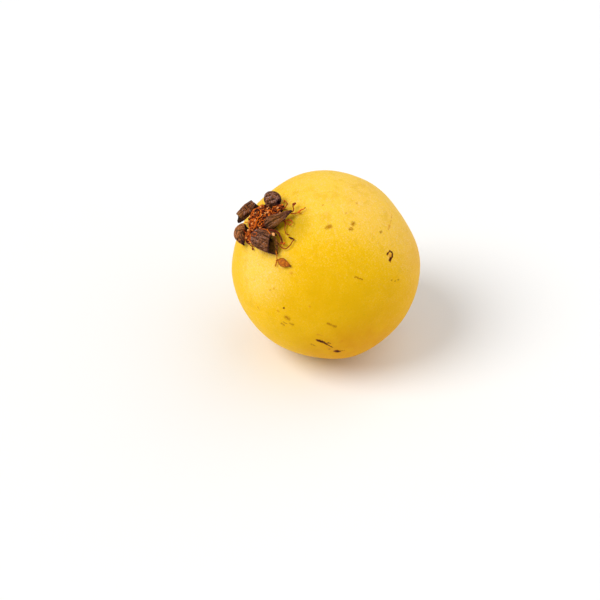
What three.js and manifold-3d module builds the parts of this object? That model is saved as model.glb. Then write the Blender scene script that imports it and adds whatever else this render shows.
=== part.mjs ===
// A ripe yellow guava lying on its side on a small flat spot. Its crown of five withered calyx
// lobes, dried stamens, style and bract leans towards -X, and its stem scar faces down towards +X.
// Millimetres, +Z up. The origin is the centre of the flat spot, on the surface it lies on.
import * as THREE from "three";
import { mergeVertices } from "three/addons/utils/BufferGeometryUtils.js";
import Module from "manifold-3d";

const wasm = await Module();
wasm.setup();

// ---- Driving dimensions ----
const FRUIT_RADIUS = 31; // mean radius of the near-round fruit
const REST_SPOT_RADIUS = 7; // flat spot that the weight of the fruit has pressed
const CROWN_LEAN = 43.4; // degrees from straight up to the crown, towards -X
const CENTRE_HEIGHT = Math.sqrt(FRUIT_RADIUS ** 2 - REST_SPOT_RADIUS ** 2);

const COLLAR_ANGLE = 11.5; // degrees from the crown's centre to the crest of the calyx collar
const COLLAR_HEIGHT = 0.3;
const COLLAR_SPREAD = 2.6;
const DISC_DEPTH = 0.45; // the floral disc inside the collar lies this far under the round
const DISC_SPREAD = 8;
const DIMPLE_DEPTH = 2; // hollow at the stem end
const DIMPLE_SPREAD = 8.5;
const SCAR_HEIGHT = 0.6; // corky plug left by the stem, in the middle of the hollow
const SCAR_SPREAD = 3.6;

const LOBE_WALL = 0.7; // a rolled lobe's wall, with its inner turns taken together
const FILAMENT_RADIUS = 0.22;
const STYLE_RADIUS = 0.36;
const STALK_RADIUS = 0.26;

// Gentle swellings and flats: degrees from the crown, degrees round the fruit's axis,
// height in mm (less than 0 is a flat) and spread in degrees.
const SWELLINGS = [
  { fromCrown: 59, round: 48, height: 0.6, spread: 22 },
  { fromCrown: 53, round: 163, height: 0.5, spread: 18 },
  { fromCrown: 124, round: -122, height: 0.5, spread: 13 },
  { fromCrown: 108, round: 5, height: -1.5, spread: 17 },
  { fromCrown: 105, round: -147, height: -0.4, spread: 17 },
  { fromCrown: 43, round: 81, height: -0.4, spread: 13 },
  { fromCrown: 118, round: 130, height: 0.4, spread: 30 },
];

// ---- Finishes ----
const SKIN = { color: 0xf5c61e, roughness: 0.42, metalness: 0 };
const DRY_LOBE = { color: 0x6b4028, roughness: 0.85, metalness: 0 };
const DRY_STAMEN = { color: 0xa8480f, roughness: 0.8, metalness: 0 };
const DRY_STYLE = { color: 0x5e1d10, roughness: 0.8, metalness: 0 };
const DRY_BRACT = { color: 0xc06a14, roughness: 0.75, metalness: 0 };

// ---- Shared helpers ----
const radians = THREE.MathUtils.degToRad;
const vector = ([x, y, z]) => new THREE.Vector3(x, y, z);
const smoothCurve = (points) => new THREE.CatmullRomCurve3(points.map(vector));
const hump = (distance, spread) => Math.exp(-((distance / spread) ** 2));

function solidOf(geometry) {
  const bare = geometry.clone();
  bare.deleteAttribute("normal");
  bare.deleteAttribute("uv");
  const merged = mergeVertices(bare, 1e-4);
  return new wasm.Manifold(
    new wasm.Mesh({
      numProp: 3,
      vertProperties: new Float32Array(merged.attributes.position.array),
      triVerts: new Uint32Array(merged.index.array),
    }),
  );
}

function geometryOf(solid) {
  const made = solid.getMesh();
  const geometry = new THREE.BufferGeometry();
  geometry.setAttribute("position", new THREE.BufferAttribute(made.vertProperties, 3));
  geometry.setIndex(new THREE.BufferAttribute(made.triVerts, 1));
  geometry.computeVertexNormals();
  return geometry;
}

function moveVertices(geometry, move) {
  const position = geometry.getAttribute("position");
  const point = new THREE.Vector3();
  for (let i = 0; i < position.count; i += 1) {
    move(point.fromBufferAttribute(position, i));
    position.setXYZ(i, point.x, point.y, point.z);
  }
  return geometry;
}

function named(name, geometry, finish) {
  const mesh = new THREE.Mesh(geometry, new THREE.MeshStandardMaterial(finish));
  mesh.name = name;
  return mesh;
}

// A profile of [radius, height] pairs turned about +Z.
function turned(profile, sides) {
  const points = profile.map(([radius, height]) => new THREE.Vector2(radius, height));
  return new THREE.LatheGeometry(points, sides).rotateX(Math.PI / 2);
}

// Bends a shape that stands on +Z, from height 0 to height 1, along a curve. What reaches past
// the curve's ends goes straight on. Its Y is turned as near to `up` as the curve lets it, and
// pressed to `flatten` of its size.
function bendAlong(geometry, curve, up, flatten = 1) {
  const length = curve.getLength();
  return moveVertices(geometry, (point) => {
    const share = THREE.MathUtils.clamp(point.z, 0, 1);
    const past = (point.z - share) * length;
    const along = curve.getTangent(share);
    const across = new THREE.Vector3().crossVectors(up, along).normalize();
    const rise = new THREE.Vector3().crossVectors(along, across);
    const { x, y } = point;
    curve.getPoint(share, point);
    point.addScaledVector(along, past).addScaledVector(across, x).addScaledVector(rise, y * flatten);
  });
}

// ---- Fruit ----
function skinRadius(fromCrown) {
  const fromStem = 180 - fromCrown;
  return (
    FRUIT_RADIUS +
    COLLAR_HEIGHT * hump(fromCrown - COLLAR_ANGLE, COLLAR_SPREAD) -
    DISC_DEPTH * hump(fromCrown, DISC_SPREAD) -
    DIMPLE_DEPTH * hump(fromStem, DIMPLE_SPREAD) +
    SCAR_HEIGHT * hump(fromStem, SCAR_SPREAD)
  );
}

function directionOf({ fromCrown, round }) {
  const aside = Math.sin(radians(fromCrown));
  return new THREE.Vector3(
    aside * Math.cos(radians(round)),
    aside * Math.sin(radians(round)),
    Math.cos(radians(fromCrown)),
  );
}

function swellingTowards(direction) {
  return SWELLINGS.reduce((height, swelling) => {
    const apart = THREE.MathUtils.radToDeg(direction.angleTo(directionOf(swelling)));
    return height + swelling.height * hump(apart, swelling.spread);
  }, 0);
}

// Rings lie close together at the two ends, where the collar and the stem scar are.
function fruitProfile() {
  const END_ZONE = 21;
  const END_STEP = 1.75;
  const BODY_STEP = 4.6;
  const angles = [];
  for (let angle = 180; angle > 180 - END_ZONE; angle -= END_STEP) angles.push(angle);
  for (let angle = 180 - END_ZONE; angle > END_ZONE; angle -= BODY_STEP) angles.push(angle);
  for (let angle = END_ZONE; angle > 0; angle -= END_STEP) angles.push(angle);
  angles.push(0);
  return angles.map((angle) => {
    const onAxis = angle === 0 || angle === 180;
    const radius = skinRadius(angle);
    return [onAxis ? 0 : radius * Math.sin(radians(angle)), radius * Math.cos(radians(angle))];
  });
}

function fruit() {
  const SIDES = 46;
  const geometry = turned(fruitProfile(), SIDES);
  moveVertices(geometry, (point) => {
    const direction = point.clone().normalize();
    point.addScaledVector(direction, swellingTowards(direction));
  });
  geometry.rotateY(-radians(CROWN_LEAN)).translate(0, 0, CENTRE_HEIGHT);
  const CUT_SIZE = 4 * FRUIT_RADIUS;
  const below = new THREE.BoxGeometry(CUT_SIZE, CUT_SIZE, CUT_SIZE);
  below.translate(0, 0, -CUT_SIZE / 2);
  const rested = solidOf(geometry).subtract(solidOf(below));
  return named("fruit", geometryOf(rested), SKIN);
}

// ---- Calyx lobes: sepals dried and rolled up lengthwise, each on its own path ----
// `root` is where the lobe meets the collar, and `path` is the middle of the roll. `girths` are
// radii at equal steps from its foot to its tip. `mouth` is the share of a roll that is hollow,
// open at the tip, and 0 is a roll that ends in a point.
const LOBES = [
  {
    name: "calyx_lobe_top",
    root: [5.7, 2.6, 31.1],
    path: [[5.1, 4.2, 33.4], [7.1, 2.5, 33.4], [8.7, -0.1, 32.8]],
    girths: [1.9, 2.8, 3.05, 2.7, 1.4],
    flatten: 0.98,
    mouth: 0.5,
  },
  {
    name: "calyx_lobe_upper_left",
    root: [1.0, 6.3, 31.3],
    path: [[0.9, 8.9, 32.9], [-2.2, 8.2, 33.4], [-5.2, 7.6, 33.9]],
    girths: [1.5, 1.85, 1.95, 1.9, 1.75],
    flatten: 0.97,
    mouth: 0.6,
  },
  {
    name: "calyx_lobe_lower_left",
    root: [-5.9, 2.2, 31.0],
    path: [[-5.4, 2.8, 32.9], [-7.3, 3.6, 32.8], [-8.8, 2.8, 32.4], [-9.2, -0.4, 31.4]],
    girths: [1.2, 1.8, 2.1, 1.8, 0.8],
    flatten: 0.78,
    mouth: 0,
  },
  {
    name: "calyx_lobe_lower",
    root: [-4.3, -4.6, 31],
    path: [[-4.2, -2.6, 33.2], [-2.9, -6.2, 33.0], [-1.3, -9.2, 32.2], [-0.4, -11.1, 31.1]],
    girths: [2.0, 3.1, 3.5, 3.4, 3.1],
    flatten: 0.62,
    mouth: 0.65,
  },
  {
    name: "calyx_lobe_horn",
    root: [3.6, -5.2, 31],
    path: [[1.4, -4.6, 33.5], [3.8, -5.3, 33.2], [6.6, -6.0, 32.5], [10.1, -6.2, 31.2]],
    girths: [1.6, 2.0, 1.9, 1.6, 0.5],
    flatten: 0.92,
    mouth: 0,
  },
];

const LOBE_SIDES = 14;
const ROUND_SHARE = 0.06; // the foot and a closed tip are rounded off over this share of the length
const NECK_SHARE = 0.22; // the neck from the root runs into the roll here
const NECK_RADIUS = 0.8;
const UP = new THREE.Vector3(0, 0, 1);

function rollProfile({ girths, mouth }) {
  const last = girths.length - 1;
  const outside = girths.map((girth, i) => [girth, i / last]);
  outside[0][1] = ROUND_SHARE;
  const foot = [[0, 0], [0.7 * girths[0], ROUND_SHARE / 4]];
  if (mouth) {
    const inside = girths.map((girth, i) => [girth - LOBE_WALL, i / last]);
    const hollow = inside.filter(([, share]) => share >= 1 - mouth).reverse();
    const floorShare = hollow[hollow.length - 1][1] - ROUND_SHARE;
    return [...foot, ...outside, ...hollow, [0, floorShare]];
  }
  outside[last][1] = 1 - ROUND_SHARE;
  return [...foot, ...outside, [0.7 * girths[last], 1 - ROUND_SHARE / 4], [0, 1]];
}

// The space that a roll and a gap around it take up.
function roomProfile({ girths, flatten }, gap, overrun) {
  const last = girths.length - 1;
  const sides = girths.map((girth, i) => [girth + gap / flatten, i / last]);
  sides[0][1] = -overrun;
  sides[last][1] = 1 + overrun;
  return [[0, -overrun], ...sides, [0, 1 + overrun]];
}

// A short round stem from the collar into the roll.
function lobeNeck({ root, path }, gap) {
  const SIDES = 8;
  const radius = NECK_RADIUS + gap;
  const stem = turned([[0, 0], [radius, 0], [radius, 1], [0, 1]], SIDES);
  const heart = smoothCurve(path).getPoint(NECK_SHARE);
  return bendAlong(stem, new THREE.LineCurve3(vector(root), heart), new THREE.Vector3(0, 1, 0));
}

function lobeSolid(lobe, gap = 0) {
  const curve = smoothCurve(lobe.path);
  const profile = gap ? roomProfile(lobe, gap, gap / curve.getLength()) : rollProfile(lobe);
  const roll = bendAlong(turned(profile, LOBE_SIDES), curve, UP, lobe.flatten);
  return solidOf(roll).add(solidOf(lobeNeck(lobe, gap)));
}

function calyxLobe(lobe) {
  return named(lobe.name, geometryOf(lobeSolid(lobe)), DRY_LOBE);
}

// ---- Stamens ----
// The matted stamens fill the floral disc and spill out between the top lobe and the horn.
function stamenTuft() {
  const GAP = 0.35;
  const LUMP = 0.22;
  const SMALLEST_DETAIL = 0.05;
  const CENTRE = new THREE.Vector3(0.3, 0.6, 32.6);
  const SPILL = new THREE.Vector3(6.2, -1.7, 32.0);
  const lumpy = (radii, centre) => {
    const mound = new THREE.SphereGeometry(1, 20, 12).scale(...radii);
    moveVertices(mound, (point) => {
      const ripple = Math.sin(2.3 * point.x + 1) * Math.sin(2.1 * point.y) * Math.cos(2.6 * point.z);
      point.addScaledVector(point.clone().normalize(), LUMP * ripple).add(centre);
    });
    return solidOf(mound);
  };
  let matted = lumpy([4.7, 4.9, 1.75], CENTRE).add(lumpy([3.1, 1.3, 1.1], SPILL));
  for (const lobe of LOBES) matted = matted.subtract(lobeSolid(lobe, GAP));
  return named("stamen_tuft", geometryOf(matted.asOriginal().simplify(SMALLEST_DETAIL)), DRY_STAMEN);
}

function strand(points, radius) {
  const SIDES = 6;
  const STEP = 1.1;
  const path = smoothCurve(points);
  const section = new THREE.Shape();
  section.absarc(0, 0, radius, 0, 2 * Math.PI);
  return new THREE.ExtrudeGeometry(section, {
    steps: Math.max(4, Math.round(path.getLength() / STEP)),
    curveSegments: SIDES,
    extrudePath: path,
  });
}

function anther(centre, radii) {
  return new THREE.SphereGeometry(1, 8, 6).scale(...radii).translate(...centre);
}

// Each filament is a row of points from its root outwards.
const STAMENS = [
  {
    name: "stamen_upper_hook",
    filaments: [[[8.9, -3.1, 31.8], [10.3, -2.6, 31.7], [10.3, -1.2, 31.6], [9.7, 0.6, 30.9]]],
    anthers: [{ at: [9.7, 0.7, 30.8], radii: [0.45, 0.4, 0.35] }],
  },
  {
    name: "stamen_upper_straight",
    filaments: [[[10.9, -4.9, 30.1], [11.2, -4.5, 30.6], [11.4, -4.1, 30.8], [11.8, -3.6, 30.6]]],
    anthers: [{ at: [11.9, -3.5, 30.6], radii: [0.6, 0.45, 0.4] }],
  },
  {
    name: "stamen_forked",
    filaments: [
      [[10.6, -6.0, 29.5], [11.2, -6.3, 29.2], [11.9, -6.9, 28.7]],
      [[11.1, -6.3, 29.2], [12.4, -6.0, 28.9], [13.7, -6.0, 28.4]],
    ],
    anthers: [],
  },
  {
    name: "stamen_curl",
    filaments: [[[7.8, -7.7, 30.3], [8.3, -8.1, 30.1], [8.0, -8.9, 29.8], [7.0, -8.7, 29.9]]],
    anthers: [],
  },
  {
    name: "stamen_hook",
    filaments: [[[6.2, -7.7, 30.5], [5.3, -8.6, 30.3], [4.7, -9.8, 29.8], [5.1, -10.9, 29.2]]],
    anthers: [],
  },
  {
    name: "stamen_long_bent",
    filaments: [
      [[1.2, -13.6, 29.2], [1.9, -14.1, 28.5], [3.5, -14.1, 28.4], [5.5, -13.4, 28.3]],
      [[5.6, -13.4, 28.3], [5.2, -12.7, 28.8], [4.6, -12.1, 29.1]],
    ],
    anthers: [{ at: [4.7, -12.2, 29.1], radii: [0.5, 0.55, 0.35] }],
  },
  {
    name: "stamen_lower_left",
    filaments: [[[-8.1, -2.4, 31.3], [-7.8, -3.1, 30.9], [-7.5, -3.8, 30.6], [-7.8, -4.4, 30.3]]],
    anthers: [{ at: [-7.8, -4.5, 30.3], radii: [0.4, 0.45, 0.4] }],
  },
];

function joined(name, geometries, finish) {
  const solid = geometries.map(solidOf).reduce((whole, piece) => whole.add(piece));
  return named(name, geometryOf(solid), finish);
}

function stamen({ name, filaments, anthers }) {
  const threads = filaments.map((points) => strand(points, FILAMENT_RADIUS));
  const heads = anthers.map(({ at, radii }) => anther(at, radii));
  return joined(name, [...threads, ...heads], DRY_STAMEN);
}

// ---- Style: the thickest strand, with two anthers stuck to its end ----
function style() {
  const points = [[2.9, -8.7, 32.0], [3.1, -9.9, 31.6], [2.7, -11.4, 30.6], [2.0, -12.6, 29.8]];
  const thread = strand(points, STYLE_RADIUS);
  const outerHead = anther([2.3, -12.9, 29.7], [0.5, 0.5, 0.45]);
  const innerHead = anther([1.8, -12.4, 30.2], [0.45, 0.45, 0.45]);
  return joined("style", [thread, outerHead, innerHead], DRY_STYLE);
}

// ---- Bract: a withered, pointed leaflet on a forked stalk ----
function bract() {
  const SIDES = 12;
  const THINNESS = 0.45;
  const stalk = strand([[-1.6, -13.9, 29.5], [-2.3, -14.1, 28.8], [-3.0, -14.6, 28.2]], STALK_RADIUS);
  const prong = strand([[-3.0, -14.5, 28.3], [-3.8, -14.9, 27.8], [-4.8, -15.1, 27.3]], STALK_RADIUS);
  const halfWidths = [[0, 0], [0.3, 0.03], [0.5, 0.15], [1.05, 0.4], [1.2, 0.6], [0.8, 0.82], [0, 1]];
  const midrib = smoothCurve([
    [-2.9, -14.5, 28.3],
    [-2.2, -15.7, 27.8],
    [-1.6, -17.2, 27.1],
    [-0.6, -18.6, 25.9],
  ]);
  const outwards = new THREE.Vector3(0, -0.5, 1).normalize();
  const leaflet = bendAlong(turned(halfWidths, SIDES), midrib, outwards, THINNESS);
  return joined("bract", [stalk, prong, leaflet], DRY_BRACT);
}

// ---- The whole guava ----
const crown = new THREE.Group(); // +Z runs out of the fruit's centre through the crown
crown.add(...LOBES.map(calyxLobe));
crown.add(stamenTuft());
crown.add(...STAMENS.map(stamen));
crown.add(style());
crown.add(bract());
crown.rotation.y = -radians(CROWN_LEAN);
crown.position.z = CENTRE_HEIGHT;

const guava = new THREE.Group();
guava.add(fruit(), crown);

export default guava;
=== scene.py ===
"""Looks of a ripe yellow guava with its crown of withered calyx lobes and dried stamens.

Everything on the fruit is shaped in the crown's own frame, in millimetres: its origin is the
middle of the fruit and its +Z runs out through the crown. CROWN_TO_ROW takes that to metres.
"""

import functools
import math
import random

import bmesh
import bpy
from mathutils import Matrix, Vector, noise
from mathutils.bvhtree import BVHTree


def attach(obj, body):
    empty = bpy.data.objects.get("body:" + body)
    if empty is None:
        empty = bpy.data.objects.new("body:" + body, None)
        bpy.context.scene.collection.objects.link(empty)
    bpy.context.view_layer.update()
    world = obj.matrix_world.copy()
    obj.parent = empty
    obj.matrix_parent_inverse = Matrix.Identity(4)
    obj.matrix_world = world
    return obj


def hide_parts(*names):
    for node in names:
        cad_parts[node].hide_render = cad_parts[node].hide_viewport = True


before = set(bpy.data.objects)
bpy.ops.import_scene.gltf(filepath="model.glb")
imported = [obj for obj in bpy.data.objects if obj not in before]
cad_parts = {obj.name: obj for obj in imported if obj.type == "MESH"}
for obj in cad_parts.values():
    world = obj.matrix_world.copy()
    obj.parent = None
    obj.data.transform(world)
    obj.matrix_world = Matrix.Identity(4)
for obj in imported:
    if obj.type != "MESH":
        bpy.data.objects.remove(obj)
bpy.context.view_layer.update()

MM = 0.001
FRUIT_RADIUS = 31.0
REST_SPOT_RADIUS = 7.0
CROWN_LEAN = math.radians(43.4)
CENTRE_HEIGHT = math.sqrt(FRUIT_RADIUS**2 - REST_SPOT_RADIUS**2)
CENTRE = Vector((0, 0, CENTRE_HEIGHT * MM))
LEAN_TURN = Matrix.Rotation(-CROWN_LEAN, 4, "Y")
CROWN_TO_ROW = Matrix.Translation(CENTRE) @ LEAN_TURN @ Matrix.Scale(MM, 4)
UP = Vector((0, 0, 1))
COVERED = []  # the surfaces of the lobes, for what lies over them


# ---- Small helpers ----
def hump(distance, spread):
    """1 at no distance, falling off smoothly over the spread."""
    return math.exp(-((distance / spread) ** 2))


def mix(low, high, share):
    return low + (high - low) * share


def clamp(value, low=0.0, high=1.0):
    return max(low, min(high, value))


def noise_at(x, y, z):
    """Smooth noise, from about -1 to 1."""
    return noise.noise(Vector((x, y, z)))


def vectors(points):
    return [Vector(point) for point in points]


def towards(from_crown, around):
    """Unit vector at these degrees from the crown and round the fruit's axis."""
    aside = math.sin(math.radians(from_crown))
    turn = math.radians(around)
    return Vector((aside * math.cos(turn), aside * math.sin(turn), math.cos(math.radians(from_crown))))


def between(values, share):
    """Value at this share of the way along evenly spaced values."""
    place = clamp(share) * (len(values) - 1)
    low = min(int(place), len(values) - 2)
    return mix(values[low], values[low + 1], place - low)


def smooth_between(values, share):
    """The same, on a Catmull-Rom curve through the values, and straight on past the last one."""
    last = len(values) - 1
    place = clamp(share) * last
    low = min(int(place), last - 1)
    t = place - low
    p1, p2 = values[low], values[low + 1]
    p0 = values[low - 1] if low else p1 + (p1 - p2)
    p3 = values[low + 2] if low + 2 <= last else p2 + (p2 - p1)
    point = (
        p1 * (1 - 2.5 * t**2 + 1.5 * t**3)
        + p2 * (0.5 * t + 2 * t**2 - 1.5 * t**3)
        + p0 * (-0.5 * t + t**2 - 0.5 * t**3)
        + p3 * (-0.5 * t**2 + 0.5 * t**3)
    )
    if share > 1:
        point = point + (p2 - p1) * (share - 1) * last
    return point


def path_frame(points, share, up=UP):
    """(middle, across, rise) of a path at this share of its length."""
    step = 0.01
    middle = smooth_between(points, share)
    near = clamp(share, step, 1 - step)
    along = (smooth_between(points, near + step) - smooth_between(points, near - step)).normalized()
    across = up.cross(along).normalized()
    return middle, across, along.cross(across)


def round_path(middle, across, rise, turn, radius, flat):
    """The place at this turn and radius round a path, whose section is flattened this much."""
    return middle + across * math.cos(turn) * radius + rise * math.sin(turn) * radius * flat


def new_layer(bm, name):
    """A number on each vertex, which a material reads by this name."""
    return bm.verts.layers.float.new(name)


def mesh_from(bm, name):
    mesh = bpy.data.meshes.new(name)
    bm.to_mesh(mesh)
    bm.free()
    return mesh


def add_object(name, data):
    made = bpy.data.objects.new(name, data)
    bpy.context.collection.objects.link(made)
    return made


def finish_piece(bm, name, material, node):
    """Takes the bmesh from the crown's frame to the row's and makes it a piece of the object."""
    bmesh.ops.transform(bm, matrix=CROWN_TO_ROW, verts=bm.verts)
    for face in bm.faces:
        face.smooth = True
    piece = add_object(name, mesh_from(bm, name))
    piece.data.materials.append(material)
    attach(piece, "root")
    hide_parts(node)


# ---- Shader helpers ----
def feed(tree, node, inputs):
    """Fills a node's inputs, each by a value or by another node's output."""
    for key, value in inputs.items():
        socket = node.inputs[key]
        if isinstance(value, bpy.types.NodeSocket):
            tree.links.new(value, socket)
        else:
            socket.default_value = (*value, 1) if socket.type == "RGBA" else value


def add_node(tree, kind, inputs, **settings):
    """A node with its settings made and its inputs filled."""
    made = tree.nodes.new(kind)
    for key, value in settings.items():
        setattr(made, key, value)
    feed(tree, made, inputs)
    return made


def place_group(tree, group, inputs):
    """The first output of a node group put in the tree."""
    return add_node(tree, "ShaderNodeGroup", inputs, node_tree=group).outputs[0]


def maths(tree, operation, *values):
    return add_node(tree, "ShaderNodeMath", dict(enumerate(values)), operation=operation).outputs[0]


def times(tree, *values):
    """All these values multiplied together."""
    return functools.reduce(lambda product, value: maths(tree, "MULTIPLY", product, value), values)


def vector_maths(tree, operation, *values):
    made = add_node(tree, "ShaderNodeVectorMath", dict(enumerate(values)), operation=operation)
    return made.outputs["Value" if operation in ("DOT_PRODUCT", "DISTANCE") else "Vector"]


def scaled(tree, vector, scale):
    return add_node(tree, "ShaderNodeVectorMath", {0: vector, "Scale": scale}, operation="SCALE").outputs[0]


def spread_out(tree, value, low, high, to_low=0.0, to_high=1.0):
    """The value's range from low to high eased to to_low to to_high, and held there past its ends."""
    inputs = {"Value": value, "From Min": low, "From Max": high, "To Min": to_low, "To Max": to_high}
    made = add_node(tree, "ShaderNodeMapRange", inputs, interpolation_type="SMOOTHSTEP")
    return made.outputs["Result"]


def noise_value(tree, vector, scale, detail=3.0, roughness=0.55, distortion=0.0):
    inputs = {"Scale": scale, "Detail": detail, "Roughness": roughness, "Distortion": distortion}
    return add_node(tree, "ShaderNodeTexNoise", {"Vector": vector, **inputs}).outputs["Fac"]


def patchy(tree, vector, texture, span):
    """Patches of noise: its (scale, detail, roughness, distortion), and the range spread out."""
    return spread_out(tree, noise_value(tree, vector, *texture), *span)


def blend(tree, below, above, *shares):
    """The colour below with the one above laid over it, by the product of the shares."""
    inputs = {0: times(tree, *shares), 6: below, 7: above}
    return add_node(tree, "ShaderNodeMix", inputs, data_type="RGBA").outputs[2]


def attribute(tree, name):
    return add_node(tree, "ShaderNodeAttribute", {}, attribute_name=name).outputs["Fac"]


def new_group(name, inputs, output):
    """A shader node group with these named sockets: (tree, its given values, its output's input)."""
    tree = bpy.data.node_groups.new(name, "ShaderNodeTree")
    for socket_name, kind in inputs.items():
        tree.interface.new_socket(name=socket_name, in_out="INPUT", socket_type="NodeSocket" + kind)
    tree.interface.new_socket(name=output, in_out="OUTPUT", socket_type="NodeSocketFloat")
    given = tree.nodes.new("NodeGroupInput")
    return tree, given.outputs, tree.nodes.new("NodeGroupOutput").inputs[0]


def new_material(name):
    """(material, tree, its Principled shader)."""
    material = bpy.data.materials.new(name)
    material.use_nodes = True
    tree = material.node_tree
    tree.nodes.clear()
    shader = tree.nodes.new("ShaderNodeBsdfPrincipled")
    out = tree.nodes.new("ShaderNodeOutputMaterial")
    tree.links.new(shader.outputs["BSDF"], out.inputs["Surface"])
    return material, tree, shader


def feed_shader(tree, shader, colour, roughness, height, strength, depth):
    """Gives the shader its colour, roughness and relief, which is this deep in metres."""
    bump = add_node(tree, "ShaderNodeBump", {"Strength": strength, "Distance": depth, "Height": height})
    inputs = {"Base Color": colour, "Roughness": roughness, "Normal": bump.outputs["Normal"]}
    feed(tree, shader, inputs)


def crown_position(tree):
    """The place on the surface in the crown's frame, in millimetres."""
    inputs = {
        "Vector": add_node(tree, "ShaderNodeTexCoord", {}).outputs["Object"],
        "Location": CENTRE,
        "Rotation": (0, -CROWN_LEAN, 0),
        "Scale": (MM, MM, MM),
    }
    return add_node(tree, "ShaderNodeMapping", inputs, vector_type="TEXTURE").outputs["Vector"]


# ---- Shared shader effects ----
STROKE_EDGE = (1.15, 0.1)  # shares of its half width where a stroke begins and is full


def stroke_group():
    """A soft-edged stroke from one place to another: 1 on the stroke and 0 away from it."""
    inputs = {
        "Position": "Vector",
        "From": "Vector",
        "To": "Vector",
        "Half Width": "Float",
        "Taper": "Float",
    }
    tree, given, out = new_group("stroke", inputs, "Mask")
    run = vector_maths(tree, "SUBTRACT", given["To"], given["From"])
    aside = vector_maths(tree, "SUBTRACT", given["Position"], given["From"])
    run_squared = vector_maths(tree, "DOT_PRODUCT", run, run)
    reach = maths(tree, "DIVIDE", vector_maths(tree, "DOT_PRODUCT", aside, run), run_squared)
    share = add_node(tree, "ShaderNodeClamp", {"Value": reach}).outputs[0]
    apart = vector_maths(tree, "DISTANCE", aside, scaled(tree, run, share))
    thinning = maths(tree, "SUBTRACT", 1.0, times(tree, share, given["Taper"]))
    width = times(tree, given["Half Width"], thinning)
    tree.links.new(spread_out(tree, maths(tree, "DIVIDE", apart, width), *STROKE_EDGE), out)
    return tree


def cheek_group():
    """A broad soft patch round one direction on the fruit."""
    inputs = {"Direction": "Vector", "Towards": "Vector", "Reach": "Float"}
    tree, given, out = new_group("cheek", inputs, "Mask")
    facing = vector_maths(tree, "DOT_PRODUCT", given["Direction"], given["Towards"])
    edge = maths(tree, "COSINE", given["Reach"])
    tree.links.new(spread_out(tree, facing, edge, 1.0), out)
    return tree


def grain_group():
    """Fine grain over coarser unevenness, for relief and for small changes of colour."""
    inputs = {"Position": "Vector", "Coarse": "Float", "Fine": "Float"}
    tree, given, out = new_group("grain", inputs, "Height")
    coarse = noise_value(tree, given["Position"], given["Coarse"], 2.0)
    fine = noise_value(tree, given["Position"], given["Fine"], 3.0, 0.65)
    tree.links.new(maths(tree, "ADD", times(tree, coarse, 0.65), times(tree, fine, 0.35)), out)
    return tree


STROKE = stroke_group()
CHEEK = cheek_group()
GRAIN = grain_group()


def grain_height(tree, position, coarse, fine):
    return place_group(tree, GRAIN, {"Position": position, "Coarse": coarse, "Fine": fine})


# ---- Skin ----
GOLD = (0.95, 0.555, 0.001)
CREAM = (0.98, 0.66, 0.085)
PEACH = (0.97, 0.58, 0.075)
RICHER_GOLD = (0.81, 0.45, 0.0)
SHADED_GOLD = (0.74, 0.335, 0.0)
GREENISH = (0.56, 0.35, 0.0)
PALE_SPECK = (0.99, 0.65, 0.26)
SCAB = (0.03, 0.008, 0.005)
SCAB_FRINGE = (0.36, 0.09, 0.005)
OLIVE = (0.45, 0.165, 0.002)
ORANGE = (0.72, 0.26, 0.01)
CORK = (0.22, 0.12, 0.05)
DARK_CORK = (0.06, 0.03, 0.015)

# Broad patches of the skin: towards (from crown, around), reach in degrees, colour, strength, and
# how pale their specks are. The cream and peach patches on the near side are paler skin and also
# painted highlight. The richer and shaded gold patches low on the fruit are painted shade, darker
# towards the bottom. The greenish patch next to the crown is painted shadow of the calyx over
# greenish skin. The last three repeat such patches round the back.
CHEEKS = [
    ((29, -132), 26, CREAM, 0.88, 1.0),
    ((50, 0), 46, CREAM, 0.65, 0.9),
    ((82, -14), 42, PEACH, 0.78, 0.8),
    ((109, -34), 24, PEACH, 0.6, 0.5),
    ((80, -98), 60, RICHER_GOLD, 0.85, 0.0),
    ((112, -112), 40, SHADED_GOLD, 0.85, 0.0),
    ((150, -60), 75, SHADED_GOLD, 0.6, 0.1),
    ((19, -50), 17, GREENISH, 0.75, 0.1),
    ((70, 105), 50, CREAM, 0.6, 0.9),
    ((112, 45), 42, PEACH, 0.5, 0.7),
    ((120, 150), 50, SHADED_GOLD, 0.6, 0.1),
]

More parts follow.
